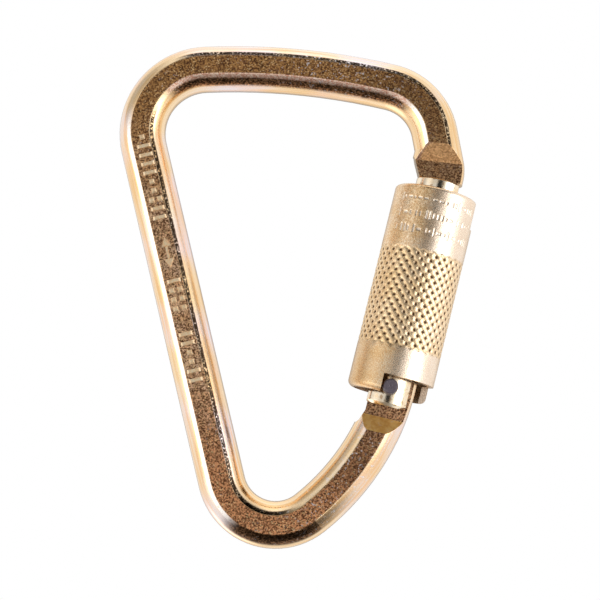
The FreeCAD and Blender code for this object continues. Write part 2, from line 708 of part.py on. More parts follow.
def make_plunger():
    """A turned plunger: round tip, cone, barrel and a spigot that centres the spring."""
    body = new_body("spring_plunger")
    profile = new_sketch(body, "plunger_profile", "XZ_Plane")
    tip = d["tip_radius"]
    centre = d["cam_radius"]
    diagonal = tip * math.sqrt(0.5)
    barrel = d["plunger_radius"]
    shoulder = d["plunger_shoulder"]
    corners = [
        (diagonal, centre - diagonal),
        (barrel, centre - diagonal + (barrel - diagonal)),
        (barrel, shoulder),
        (d["spigot_radius"], shoulder),
        (d["spigot_radius"], d["plunger_spigot"]),
        (size(0), d["plunger_spigot"]),
        (size(0), centre - tip),
    ]
    points = [FreeCAD.Vector(x.value, y.value, 0) for x, y in corners]
    for first, second in zip(points, points[1:]):
        profile.addGeometry(Part.LineSegment(first, second))
    ring = Part.Circle(FreeCAD.Vector(0, centre.value, 0), FreeCAD.Vector(0, 0, 1), tip.value)
    arc = profile.addGeometry(Part.ArcOfCircle(ring, -math.pi / 2, -math.pi / 4))
    for line in range(arc):
        following = line + 1 if line + 1 < arc else arc
        profile.addConstraint(Sketcher.Constraint("Coincident", line, 2, following, 1))
        pin_point(profile, line, 1, *corners[line])
    profile.addConstraint(Sketcher.Constraint("Coincident", arc, 2, 0, 1))
    constrain(profile, "Radius", arc, value=tip)
    turn(body, profile)
    return body


def make_gate_spring():
    body = new_body("gate_spring")
    section = new_sketch(body, "gate_wire_section", "XZ_Plane")
    radius = d["gate_wire"] / 2
    seat = radius + d["leg_gap"]
    foot = d["plunger_shoulder"] + seat
    circle(section, d["gate_coil"], foot, radius)
    coil(body, section, d["bore_top"] - seat - foot, d["gate_coils"])
    return body


# ---------------------------------------------------------------- sleeve

def notch_outline(sketch):
    """The part of the skirt that is cut away: from the pin's inner side round to the outer side."""
    gap = d["pin_radius"] + d["notch_gap"]
    reach = 14.0
    side_reach = 21.0
    turned = d["twist_range"]
    along = (sine(turned), -cosine(turned))
    across = (cosine(turned), sine(turned))
    outline(sketch, [
        (-gap, -reach),
        (-gap, 0),
        (across[0] * gap, across[1] * gap),
        (along[0] * reach + across[0] * gap, along[1] * reach + across[1] * gap),
        (side_reach, -reach),
    ])


def make_lock_sleeve():
    body = new_body("lock_sleeve")
    profile = new_sketch(body, "sleeve_profile", "XZ_Plane")
    outer = d["sleeve_radius"]
    chamber = d["chamber_radius"]
    foot = -d["sleeve_foot"]
    outline(profile, [
        (chamber, foot),
        (outer, foot),
        (outer, d["sleeve_top"]),
        (d["sleeve_bore"], d["sleeve_top"]),
        (d["sleeve_bore"], d["chamber_top"]),
        (chamber, d["chamber_top"]),
    ])
    turn(body, profile)
    round_rim(body, d["foot_rounding"], outer, foot)
    round_rim(body, d["top_rounding"], outer, d["sleeve_top"])

    notch = new_sketch(body, "stop_notch", "XY_Plane", (0, 0, foot - 1))
    notch_outline(notch)
    pocket(body, notch, d["notch_top"] - foot + 1, symmetric=False, reverse=True)

    slot = new_sketch(body, "release_slot", "YZ_Plane")
    half = d["nose_slot"] / 2
    above = d["sleeve_top"] + 1
    floor = d["nose_slot_floor"]
    outline(slot, [(-half, floor), (half, floor), (half, above), (-half, above)])
    pocket(body, slot, outer + 1, symmetric=False, reverse=True)

    leg = new_sketch(body, "leg_socket", "XY_Plane", (0, 0, d["chamber_top"]))
    circle(leg, d["sleeve_coil"], 0, d["sleeve_wire"] / 2 + d["leg_gap"])
    pocket(body, leg, d["leg_socket"], symmetric=False, reverse=True)
    return body


def make_sleeve_bush():
    body = new_body("sleeve_bush")
    profile = new_sketch(body, "bush_profile", "XZ_Plane")
    outline(profile, [
        (d["sleeve_bore"], d["bush_foot"]),
        (d["chamber_radius"], d["bush_foot"]),
        (d["chamber_radius"], d["bush_top"]),
        (d["sleeve_bore"], d["bush_top"]),
    ])
    turn(body, profile)
    return body


def make_retaining_ring():
    body = new_body("retaining_ring")
    profile = new_sketch(body, "ring_profile", "XZ_Plane")
    foot = d["ring_foot"]
    top = foot + d["ring_height"]
    outline(profile, [
        (d["groove_radius"], foot),
        (d["ring_radius"], foot),
        (d["ring_radius"], top),
        (d["groove_radius"], top),
    ])
    turn(body, profile)
    opening = new_sketch(body, "ring_opening", "YZ_Plane")
    half = d["ring_gap"] / 2
    outline(opening, [(-half, foot - 1), (half, foot - 1), (half, top + 1), (-half, top + 1)])
    pocket(body, opening, d["ring_radius"] + 1, symmetric=False, reverse=False)
    return body


def make_sleeve_spring():
    """A torsion spring: a coil, a leg inwards into the gate body and a leg up into the sleeve."""
    body = new_body("sleeve_spring")
    section = new_sketch(body, "sleeve_wire_section", "XZ_Plane")
    radius = d["sleeve_wire"] / 2
    foot = d["sleeve_coil_foot"]
    top = d["sleeve_coil_top"]
    circle(section, d["sleeve_coil"], foot, radius)
    coil(body, section, top - foot, d["sleeve_coils"])

    inner_leg = new_sketch(body, "inner_leg", "YZ_Plane", (0, 0, d["leg_end"]))
    circle(inner_leg, 0, foot, radius)
    pad(body, inner_leg, d["sleeve_coil"] - d["leg_end"])
    sunk = 0.2
    slimmer = 0.95
    upper_leg = new_sketch(body, "upper_leg", "XY_Plane", (0, 0, top - sunk))
    circle(upper_leg, d["sleeve_coil"], 0, radius * slimmer)
    pad(body, upper_leg, d["chamber_top"] + d["leg_socket"] - d["leg_spare"] - top + sunk)
    return body


# ---------------------------------------------------------------- build, check and write

def check_and_write(bodies):
    """Stop on any failed object, then write each sub-part to its own file."""
    doc.recompute()
    for item in doc.Objects:
        if "Invalid" in item.State or "Error" in item.State:
            raise RuntimeError(f"{item.Name} is {item.State}")
    os.makedirs("parts", exist_ok=True)
    for body in bodies:
        shape = body.Shape
        if shape.isNull() or not shape.isValid() or len(shape.Solids) != 1:
            raise RuntimeError(f"{body.Label} isn't one valid solid")
        shape.exportStep(f"parts/{body.Label}.step")
        box = shape.BoundBox
        print(f"{body.Label:16s} {shape.Volume:10.1f} mm3  {box.XLength:6.1f} x {box.YLength:6.1f}"
              f" x {box.ZLength:6.1f} mm")


check_and_write([
    make_frame(),
    make_gate_body(),
    make_hinge_pin(),
    make_latch_pin(),
    make_plunger(),
    make_gate_spring(),
    make_lock_sleeve(),
    make_sleeve_bush(),
    make_retaining_ring(),
    make_sleeve_spring(),
])
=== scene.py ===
"""Looks of the locking carabiner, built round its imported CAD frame. Metres throughout."""
import json
import math

import bmesh
import bpy
import numpy as np
from mathutils import Matrix, Vector


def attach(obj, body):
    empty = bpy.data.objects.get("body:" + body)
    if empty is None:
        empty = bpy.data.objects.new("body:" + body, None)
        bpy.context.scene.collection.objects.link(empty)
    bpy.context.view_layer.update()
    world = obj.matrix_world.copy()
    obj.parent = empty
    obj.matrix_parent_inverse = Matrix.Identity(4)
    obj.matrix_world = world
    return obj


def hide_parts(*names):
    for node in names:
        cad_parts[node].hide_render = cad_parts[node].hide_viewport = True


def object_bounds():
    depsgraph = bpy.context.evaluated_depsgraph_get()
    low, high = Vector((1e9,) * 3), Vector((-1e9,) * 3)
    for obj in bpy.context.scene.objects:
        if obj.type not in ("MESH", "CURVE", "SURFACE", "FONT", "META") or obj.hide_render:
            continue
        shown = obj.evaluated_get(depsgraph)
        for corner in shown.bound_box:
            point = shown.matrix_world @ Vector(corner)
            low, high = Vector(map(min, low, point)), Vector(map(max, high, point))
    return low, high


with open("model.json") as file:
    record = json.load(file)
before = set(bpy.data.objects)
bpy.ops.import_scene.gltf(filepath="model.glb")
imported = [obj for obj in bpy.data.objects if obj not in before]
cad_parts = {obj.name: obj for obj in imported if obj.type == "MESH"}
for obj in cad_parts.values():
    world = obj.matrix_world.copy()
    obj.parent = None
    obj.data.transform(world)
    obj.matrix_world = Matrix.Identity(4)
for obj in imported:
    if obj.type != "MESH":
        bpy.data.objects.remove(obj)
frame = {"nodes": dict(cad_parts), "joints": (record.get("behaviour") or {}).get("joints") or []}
cad_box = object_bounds()
nodes = frame["nodes"]
MM = 0.001

# --- camera, at the photograph's viewing angle -------------------------------------------------
CAMERA_AZIMUTH = 1.5
CAMERA_ELEVATION = -7.11
CAMERA_ROLL = -0.17
CAMERA_DISTANCE = 416.0 * MM
CAMERA_LENS = 96.8
SENSOR = 36.0
AIM_OFFSET = Vector((0.87, 0.0, -1.89)) * MM   # from the middle of the CAD box


def make_camera():
    middle = (cad_box[0] + cad_box[1]) / 2
    middle.y = 0
    az, el = math.radians(CAMERA_AZIMUTH), math.radians(CAMERA_ELEVATION)
    back = Vector((math.sin(az) * math.cos(el), -math.cos(az) * math.cos(el), math.sin(el)))
    data = bpy.data.cameras.new("camera")
    data.lens = CAMERA_LENS
    data.sensor_width = SENSOR
    data.clip_start = 0.01
    data.clip_end = 20
    cam = bpy.data.objects.new("camera", data)
    cam.location = middle + AIM_OFFSET + back * CAMERA_DISTANCE
    aim = (-back).to_track_quat("-Z", "Y").to_matrix().to_4x4()
    roll = Matrix.Rotation(math.radians(CAMERA_ROLL), 4, "Z")
    cam.matrix_world = Matrix.Translation(cam.location) @ aim @ roll
    bpy.context.scene.collection.objects.link(cam)
    bpy.context.scene.camera = cam


# --- node helpers ------------------------------------------------------------------------------
class Graph:
    """A node tree with short calls: values and sockets go in, a socket comes out."""

    def __init__(self, tree):
        self.tree = tree
        tree.nodes.clear()

    def add(self, kind, inputs=None, out=0, **settings):
        node = self.tree.nodes.new(kind)
        for key, value in settings.items():
            setattr(node, key, value)
        for key, value in (inputs or {}).items():
            socket = node.inputs[key]
            if isinstance(value, bpy.types.NodeSocket):
                self.tree.links.new(value, socket)
            else:
                socket.default_value = value
        return node.outputs[out] if node.outputs else node

    def math(self, operation, a, b=0.0, c=0.0, clamp=False):
        return self.add("ShaderNodeMath", {0: a, 1: b, 2: c}, operation=operation, use_clamp=clamp)

    def vector(self, operation, a, b=(0, 0, 0), out=0):
        return self.add("ShaderNodeVectorMath", {0: a, 1: b}, out, operation=operation)

    def times(self, a, b, clamp=False):
        return self.math("MULTIPLY", a, b, clamp=clamp)

    def larger(self, a, b, clamp=False):
        return self.math("MAXIMUM", a, b, clamp=clamp)

    def dot(self, a, b):
        return self.vector("DOT_PRODUCT", a, tuple(b), out=1)

    def part(self, vector, index):
        return self.add("ShaderNodeSeparateXYZ", {"Vector": vector}, index)

    def attribute(self, name):
        return self.add("ShaderNodeAttribute", out=2, attribute_name=name)

    def smooth(self, value, low, high, to_low=0.0, to_high=1.0):
        """A soft step from to_low to to_high as the value goes from low to high."""
        return self.add("ShaderNodeMapRange", {"Value": value, "From Min": low, "From Max": high,
                                               "To Min": to_low, "To Max": to_high},
                        interpolation_type="SMOOTHSTEP")

    def mix(self, factor, a, b):
        node = self.tree.nodes.new("ShaderNodeMix")
        node.data_type = "RGBA"
        for index, value in ((0, factor), (6, a), (7, b)):
            socket = node.inputs[index]
            if isinstance(value, bpy.types.NodeSocket):
                self.tree.links.new(value, socket)
            else:
                socket.default_value = (*value, 1.0) if index > 0 and len(value) == 3 else value
        return node.outputs[2]

    def noise(self, where, scale, detail=2.0, rough=0.5):
        return self.add("ShaderNodeTexNoise", {"Vector": where, "Scale": scale, "Detail": detail,
                                               "Roughness": rough})


# --- studio ------------------------------------------------------------------------------------
def towards(azimuth, elevation):
    """Unit vector to a place in the studio; azimuth 0 is the front, 90 the right."""
    a, e = math.radians(azimuth), math.radians(elevation)
    return (math.sin(a) * math.cos(e), -math.cos(a) * math.cos(e), math.sin(e))


# (azimuth, elevation, inner and outer half angle, brightness), each row laid over those before it:
# a pale tent with soft boxes to the left, right and above, high behind and low behind the left;
# the gaps in front are dark, the one straight behind is dimmer, and the table below is dark
STUDIO = [
    (-64, -8, 8, 25, 1.8),
    (55, -2, 10, 27, 3.1),
    (10, 88, 8, 24, 1.4),
    (170, 40, 10, 34, 1.25),
    (-88, 40, 10, 28, 0.5),
    (178, 4, 22, 40, 0.6),
    (184, 4, 8, 18, 0.35),
    (-135, -40, 10, 24, 1.6),
    (-4, 10, 24, 44, 0.66),
    (4, 8, 8, 18, 0.03),
    (26, 44, 12, 27, 0.0),
    (-18, 44, 10, 26, 0.10),
    (0, -66, 16, 32, 0.10),
    (48, -62, 10, 26, 0.08),
    (-48, -62, 10, 26, 0.14),
]
TENT = 1.0


def make_studio():
    world = bpy.data.worlds.new("studio")
    world.use_nodes = True
    bpy.context.scene.world = world
    g = Graph(world.node_tree)
    where = g.vector("NORMALIZE", g.add("ShaderNodeTexCoord", out=0))
    level = TENT
    for azimuth, elevation, inner, outer, brightness in STUDIO:
        near = g.vector("DOT_PRODUCT", where, towards(azimuth, elevation), out=1)
        share = g.smooth(near, math.cos(math.radians(outer)), math.cos(math.radians(inner)))
        gap = g.math("SUBTRACT", brightness, level)
        level = g.math("MULTIPLY_ADD", gap, share, level)
    lit = g.add("ShaderNodeBackground", {"Color": (1, 1, 1, 1), "Strength": level})
    plain = g.add("ShaderNodeBackground", {"Color": (1, 1, 1, 1), "Strength": 1.0})
    seen = g.add("ShaderNodeLightPath", out=0)
    both = g.add("ShaderNodeMixShader", {0: seen, 1: lit, 2: plain})
    g.add("ShaderNodeOutputWorld", {"Surface": both})
    view = bpy.context.scene.view_settings
    view.view_transform = "Standard"
    view.look = "None"


make_camera()
make_studio()


# --- materials ---------------------------------------------------------------------------------
def joint(name):
    return next(j for j in frame["joints"] if j["name"] == name)


def gate_frame():
    """The gate's own frame: x outwards, y back, z up its axis, from the hinge pin."""
    pin = Vector(joint("gate_swing")["pos_m"])
    up = Vector(joint("sleeve_twist")["axis"]).normalized()
    if up.z < 0:
        up = -up
    out = Vector((0, 1, 0)).cross(up)
    back = up.cross(out)
    turn = Matrix((out, back, up)).transposed().to_4x4()
    return Matrix.Translation(pin) @ turn


GATE = gate_frame()
UP = GATE.to_3x3() @ Vector((0, 0, 1))


class Surface:
    """A material being built: places, normals and a Principled shader at the end."""

    def __init__(self, name):
        self.material = bpy.data.materials.new(name)
        self.material.use_nodes = True
        self.g = Graph(self.material.node_tree)
        self.place = self.g.add("ShaderNodeTexCoord", out=3)
        self.facing = self.g.add("ShaderNodeTexCoord", out=1)

    def near(self, spot, inner, outer):
        """1 within inner of a spot in the row frame, fading to 0 at outer."""
        gap = self.g.vector("DISTANCE", self.place, tuple(spot), out=1)
        return self.g.smooth(gap, outer, inner)

    def speckle(self, size, low=0.35, high=0.65, detail=2.0):
        """Cloudy noise with lumps of about this size, pushed to full contrast."""
        return self.g.smooth(self.g.noise(self.place, 1 / size, detail, 0.6), low, high)

    def grains(self, size):
        """A separate random value for every grain of about this size."""
        cell = self.g.add("ShaderNodeTexVoronoi", {"Vector": self.place, "Scale": 1 / size}, 1)
        return self.g.add("ShaderNodeSeparateColor", {"Color": cell}, 0)

    def finish(self, colour, rough, height=None, depth=0.0, bevel=0.0, **extra):
        g = self.g
        normal = None
        if bevel:
            normal = g.add("ShaderNodeBevel", {"Radius": bevel}, samples=4)
        if height is not None:
            inputs = {"Height": height, "Distance": depth, "Strength": 1.0}
            if normal is not None:
                inputs["Normal"] = normal
            normal = g.add("ShaderNodeBump", inputs)
        inputs = {"Base Color": colour, "Roughness": rough, **extra}
        if normal is not None:
            inputs["Normal"] = normal
        g.add("ShaderNodeOutputMaterial", {"Surface": g.add("ShaderNodeBsdfPrincipled", inputs)})
        return self.material


# Ranges below are where a soft step starts and ends. A spot is a centre and its inner and outer
# radius. A speckle is its size, the two levels that it is cut between, and its detail.
FLAT = (0.984, 0.997)            # how squarely a face looks to the front or back to count as flat
LEAN, FACET = (0.40, 0.46), (0.76, 0.80)
HINGE_SPOT = (GATE @ Vector((0, 0, -9.7 * MM)), 6.5 * MM, 7.5 * MM)
NOSE_SPOT = (GATE @ Vector((0, 0, 61.8 * MM)), 7.0 * MM, 8.0 * MM)
EDGE = 0.915                     # how squarely a round side faces the front where a flat cuts it
EDGE_LINE, EDGE_HIGHLIGHT_BAND = (EDGE - 0.105, EDGE - 0.07), (EDGE - 0.13, EDGE - 0.07)
SHADE_WAY, SHADE_TURN, HIGHLIGHT_TURN = (0.72, 0.0, 0.69), (0.15, 0.3), (-0.2, -0.4)
DARK_SPOTS = (
    ((0.040, -0.006, -0.010), 12 * MM, 34 * MM),
    ((0.014, -0.006, -0.091), 5 * MM, 20 * MM),
)
DARK_SPOT_SHARE = 0.42
RUBBED_SPOTS = (
    ((0.013, -0.006, 0.001), 9 * MM, 24 * MM),
    ((0.008, -0.006, -0.098), 8 * MM, 22 * MM),
)
UPPER, LOWER = (-40 * MM, 0.0), (-70 * MM, -100 * MM)
UNDERSIDE, UNDER_SIDE_ON = (0.62, 0.86), (0.44, 0.62)
GRAIN_SIZE, GLINT_SIZE, GLINT_FROM = 0.33 * MM, 0.28 * MM, 0.92
CLUMPS = (0.5 * MM, 0.35, 0.65, 3.0)
PATCHES = (3.2 * MM, 0.3, 0.7)
OCHRE_PATCHES = (1.6 * MM,)
RAGGED = (0.5 * MM, 0.27, 0.50, 4.0)
RUBS, RUB_PATCHES = (0.9 * MM, 0.60, 0.64, 5.0), (7 * MM, 0.50, 0.66)
SCRATCH_STRETCH, SCRATCH = (420, 420, 1500), (0.63, 0.67)

AMBER, STRAW = (0.88, 0.56, 0.26), (0.96, 0.74, 0.48)
ROSE, LILAC = (0.97, 0.63, 0.46), (0.86, 0.78, 0.80)
BROWN_DEEP, BROWN_DARK = (0.08, 0.030, 0.009), (0.15, 0.058, 0.022)
BROWN, BROWN_PALE = (0.94, 0.52, 0.26), (1.0, 0.68, 0.43)
BROWN_UPPER, BROWN_LOWER = (0.60, 0.31, 0.105), (0.90, 0.42, 0.19)
GLINT, SHADE = (1.0, 0.68, 0.34), (0.055, 0.024, 0.008)
OCHRE_DARK, OCHRE_PALE = (0.80, 0.44, 0.12), (0.95, 0.62, 0.22)
TAN_DARK, TAN_PALE = (0.36, 0.17, 0.065), (1.0, 0.62, 0.30)
SHADED_GRAIN_DARK, SHADED_GRAIN_PALE = (0.09, 0.040, 0.016), (0.66, 0.34, 0.17)
PAINTED_SHADE_BLACK = (0.030, 0.014, 0.006)
LIP_HIGHLIGHT_DARK, LIP_HIGHLIGHT_PALE = (0.72, 0.36, 0.24), (1.0, 0.76, 0.60)
PAINTED_SHADE_LINE, PAINTED_HIGHLIGHT_LINE = (0.030, 0.018, 0.010), (1.0, 0.94, 0.88)
SCRATCH_WHITE = (0.86, 0.80, 0.80)


def plated_frame_metal():
    """Yellow chromate on forged steel: brown blasted flats, bright round sides, worn scratches."""
    s = Surface("plated_frame_metal")
    g = s.g
    side = g.math("ABSOLUTE", g.part(s.facing, 1))
    flat = g.smooth(side, *FLAT)

    # milled facets beside the hinge and the nose, told apart by which way they lean
    lean = g.math("ABSOLUTE", g.dot(s.facing, UP))
    leaning = g.times(g.smooth(lean, *LEAN), g.smooth(side, *FACET))
    hinge_facet = g.times(leaning, s.near(*HINGE_SPOT))
    nose_facet = g.times(leaning, s.near(*NOSE_SPOT))

    # round sides: streaks run along the bar, so they follow the way the surface faces
    drift = g.vector("MULTIPLY", s.place, (28, 28, 28))
    faced = g.vector("MULTIPLY", s.facing, (0.4, 5.0, 0.4))
    streak = g.smooth(g.noise(g.vector("ADD", drift, faced), 1.6, 3.0, 0.55), 0.32, 0.68)
    shifted = g.vector("ADD", s.place, (0.3, 0.1, 0.2))
    tone = g.smooth(g.noise(shifted, 55.0, 2.0, 0.5), 0.40, 0.66)
    round_side = g.mix(tone, g.mix(streak, AMBER, STRAW), g.mix(streak, ROSE, LILAC))

    # flats: a separate brown for every grain, a few grains with painted glints, and painted shade
    # darkening two places
    clumps = g.times(s.speckle(*CLUMPS), 0.35)
    grain = g.math("MULTIPLY_ADD", s.grains(GRAIN_SIZE), 0.65, clumps)
    patch = s.speckle(*PATCHES)
    height = g.part(s.place, 2)
    upper = g.smooth(height, *UPPER)
    lower = g.smooth(height, *LOWER)
    dark = g.mix(patch, BROWN_DEEP, BROWN_DARK)
    light = g.mix(patch, BROWN, BROWN_PALE)
    light = g.mix(upper, light, BROWN_UPPER)
    light = g.mix(lower, light, BROWN_LOWER)
    brown = g.mix(g.smooth(grain, 0.15, 0.95), dark, light)
    glint = g.math("GREATER_THAN", s.grains(GLINT_SIZE), GLINT_FROM)
    brown = g.mix(g.times(glint, 0.6), brown, GLINT)
    corner, arm = [g.times(s.near(*spot), DARK_SPOT_SHARE) for spot in DARK_SPOTS]
    brown = g.mix(g.larger(corner, arm), brown, SHADE)
    ochre = g.mix(s.speckle(*OCHRE_PATCHES), OCHRE_DARK, OCHRE_PALE)
    tan = g.mix(grain, TAN_DARK, TAN_PALE)

    # undersides of the two cross bars are brown where they meet the flats: their grain is darkened
    # as painted shade, darker still towards the bottom
    around = g.math("SQRT", g.math("MULTIPLY_ADD", g.times(side, side), -1.0, 1.0))
    down = g.math("DIVIDE", g.dot(s.facing, (0, 0, -1)), g.larger(around, 0.05))
    down = g.smooth(down, *UNDERSIDE)
    under = g.times(down, g.smooth(side, *UNDER_SIDE_ON))
    # scale: the underside grain under painted shade, going towards black low on the frame
    scale = g.mix(g.smooth(grain, 0.3, 0.9), SHADED_GRAIN_DARK, SHADED_GRAIN_PALE)
    scale = g.mix(g.times(lower, 0.6), scale, PAINTED_SHADE_BLACK)
    round_side = g.mix(under, round_side, scale)
    # painted highlight: a grainy pink line under the top bar where its underside meets the flat
    painted_lip_highlight = g.times(g.times(down, g.smooth(side, *EDGE_HIGHLIGHT_BAND)), upper)
    round_side = g.mix(painted_lip_highlight, round_side, g.mix(g.smooth(grain, 0.2, 0.8), LIP_HIGHLIGHT_DARK, LIP_HIGHLIGHT_PALE))

    # where round sides meet flats: a painted shade line towards the right and top, a painted
    # highlight line to the left
    turned = g.dot(s.facing, SHADE_WAY)
    edge = g.smooth(side, *EDGE_LINE)
    ragged = s.speckle(*RAGGED)
    painted_shade_edge = g.times(edge, g.smooth(turned, *SHADE_TURN))
    round_side = g.mix(g.times(painted_shade_edge, ragged), round_side, PAINTED_SHADE_LINE)
    painted_highlight_edge = g.times(edge, g.smooth(turned, *HIGHLIGHT_TURN))
    painted_highlight_edge = g.times(painted_highlight_edge, g.math("SUBTRACT", 1.0, down))
    round_side = g.mix(g.times(painted_highlight_edge, ragged), round_side, PAINTED_HIGHLIGHT_LINE)

    colour = g.mix(flat, round_side, brown)
    colour = g.mix(nose_facet, colour, tan)
    colour = g.mix(hinge_facet, colour, ochre)

    # fine scratches and rubbed spots, thickest on the top bar and on the arm below the hinge
    scratch = g.noise(g.vector("MULTIPLY", s.place, SCRATCH_STRETCH), 1.0, 5.0, 0.75)
    scratch = g.smooth(scratch, *SCRATCH)
    top, arm = [s.near(*spot) for spot in RUBBED_SPOTS]
    places = g.larger(g.larger(top, arm), g.times(s.speckle(*RUB_PATCHES), 0.5))
    wear = g.times(g.larger(scratch, s.speckle(*RUBS)), places)
    wear = g.times(wear, g.smooth(side, 0.45, 0.75), clamp=True)
    colour = g.mix(g.times(wear, 0.75), colour, SCRATCH_WHITE)

    milled = g.larger(g.larger(flat, nose_facet), hinge_facet, clamp=True)
    metallic = g.smooth(milled, 0.0, 1.0, 1.0, 0.75)
    rough = g.math("MULTIPLY_ADD", milled, 0.30, g.smooth(streak, 0.0, 1.0, 0.13, 0.23))
    rough = g.math("MULTIPLY_ADD", under, 0.1, rough)
    relief = g.times(grain, g.math("MULTIPLY_ADD", flat, 0.7, 0.3))
    return s.finish(colour, rough, relief, 0.035 * MM, 0.3 * MM, Metallic=metallic)


SATIN_GRAIN, SATIN_CLOUDS = (0.34 * MM, 0.38, 0.64, 3.0), (5.0 * MM, 0.35, 0.65)
DARK_REFLECTION_SPOT = (GATE @ Vector((-3.0 * MM, -10.5 * MM, 45.0 * MM)), 6 * MM, 15 * MM)
DARK_REFLECTION_GRAIN, DARK_REFLECTION_SHARE = (0.45 * MM, 0.42, 0.62, 3.0), 0.5
STAIN_SPOT, STAIN_SHARE = (GATE @ Vector((-9.5 * MM, -5.0 * MM, 4.0 * MM)), 5 * MM, 13 * MM), 0.5
KNURL_STARTS, KNURL_ENDS, KNURL_SHARE = (9.8 * MM, 10.6 * MM), (35.8 * MM, 35.0 * MM), 0.4
HIGHLIGHT_WAY, HIGHLIGHT_RANGE = (0.62, -0.78, 0.0), (0.60, 0.97)
HIGHLIGHT_SHARE, HIGHLIGHT_LOST_ON_KNURL = 0.58, 0.42
INNER_SHADE_SHARE = 0.62               # how far painted shade darkens inside the sleeve and in its cuts
STAMP_SHARE = 0.7

SATIN_DEEP, SATIN_DEEP_WARM = (0.82, 0.50, 0.24), (0.92, 0.62, 0.36)
SATIN_PALE, SATIN_PALE_WARM = (1.0, 0.76, 0.46), (1.0, 0.83, 0.60)
DARK_REFLECTION_BROWN, STAIN, KNURL_GOLD = (0.38, 0.20, 0.06), (0.62, 0.38, 0.16), (1.0, 0.72, 0.38)
HIGHLIGHT_PINK, PIT_SHADE_BROWN, STAMP_PALE = (1.0, 0.88, 0.78), (0.09, 0.038, 0.012), (1.0, 0.90, 0.78)


def plated_sleeve_metal():
    """Satin yellow chromate with a fine grain, with painted shade in the knurl's pits and inside
    the sleeve, a painted highlight to the front right and a painted reflection of dark on the
    front.
    """
    s = Surface("plated_sleeve_metal")
    g = s.g
    grain = s.speckle(*SATIN_GRAIN)
    cloud = s.speckle(*SATIN_CLOUDS)
    deep = g.mix(cloud, SATIN_DEEP, SATIN_DEEP_WARM)
    pale = g.mix(cloud, SATIN_PALE, SATIN_PALE_WARM)
    colour = g.mix(grain, deep, pale)
    # painted reflection: a grainy brown patch of reflected dark on the front of the sleeve's upper
    # part
    painted_dark_reflection = g.times(s.near(*DARK_REFLECTION_SPOT), s.speckle(*DARK_REFLECTION_GRAIN))
    colour = g.mix(g.times(painted_dark_reflection, DARK_REFLECTION_SHARE), colour, DARK_REFLECTION_BROWN)
    colour = g.mix(g.times(s.near(*STAIN_SPOT), STAIN_SHARE), colour, STAIN)

    along = g.math("SUBTRACT", g.dot(s.place, UP), GATE.translation.dot(UP))
    knurled = g.times(g.smooth(along, *KNURL_STARTS), g.smooth(along, *KNURL_ENDS))
    colour = g.mix(g.times(knurled, KNURL_SHARE), colour, KNURL_GOLD)
    # painted highlight: pale pink where the sleeve faces the front right, weaker on the knurl
    painted_highlight = g.smooth(g.dot(s.facing, HIGHLIGHT_WAY), *HIGHLIGHT_RANGE)
    share = g.math("MULTIPLY_ADD", knurled, -HIGHLIGHT_LOST_ON_KNURL, HIGHLIGHT_SHARE)
    colour = g.mix(g.times(painted_highlight, share), colour, HIGHLIGHT_PINK)

    # painted shade in the knurl's pits, inside the sleeve and on the walls of its cuts
    dark = g.larger(g.attribute("pit"), g.times(g.attribute("inner"), INNER_SHADE_SHARE))
    colour = g.mix(dark, colour, PIT_SHADE_BROWN)
    colour = g.mix(g.times(g.attribute("stamp"), STAMP_SHARE), colour, STAMP_PALE)
    rough = g.smooth(grain, 0.0, 1.0, 0.34, 0.22)
    return s.finish(colour, rough, grain, 0.012 * MM, Metallic=0.88)


def plated_gate_metal():
    """Bright zinc under a thin yellow film, turned smooth."""
    s = Surface("plated_gate_metal")
    g = s.g
    film = s.speckle(2.4 * MM, 0.35, 0.7)
    colour = g.mix(film, (0.96, 0.84, 0.66), (0.96, 0.74, 0.48))
    stain = g.math("MULTIPLY", s.speckle(1.1 * MM, 0.58, 0.66, 3.0), 0.7)
    colour = g.mix(stain, colour, (0.50, 0.30, 0.14))
    grain = s.speckle(0.35 * MM)
    rough = g.smooth(film, 0.0, 1.0, 0.10, 0.20)
    return s.finish(colour, rough, grain, 0.004 * MM, 0.25 * MM, Metallic=1.0)


def bare_steel(name, low, high, rough, metallic, bevel=0.2 * MM):
    """Plain darkened steel for the pins, the plunger and the bush."""
    s = Surface(name)
    grain = s.speckle(0.3 * MM)
    colour = s.g.mix(grain, low, high)
    roughness = s.g.smooth(grain, 0.0, 1.0, rough * 0.85, rough * 1.15)
    return s.finish(colour, roughness, grain, 0.006 * MM, bevel, Metallic=metallic)


def spring_steel():
    """Drawn wire with a fine speckle, lightly oiled."""
    s = Surface("spring_steel_metal")
    line = s.speckle(0.18 * MM)
    colour = s.g.mix(line, (0.30, 0.29, 0.28), (0.52, 0.50, 0.48))
    return s.finish(colour, s.g.smooth(line, 0.0, 1.0, 0.22, 0.34), line, 0.004 * MM, Metallic=1.0)


def marks_with_painted_highlight():
    """The raised marks, a brighter gold than the flat they stand on as a painted highlight."""
    s = Surface("worn_marks_metal")
    grain = s.speckle(0.4 * MM, 0.38, 0.66, 3.0)
    colour = s.g.mix(grain, (1.0, 0.68, 0.38), (1.0, 0.84, 0.58))
    return s.finish(colour, 0.36, grain, 0.01 * MM, Metallic=0.5)


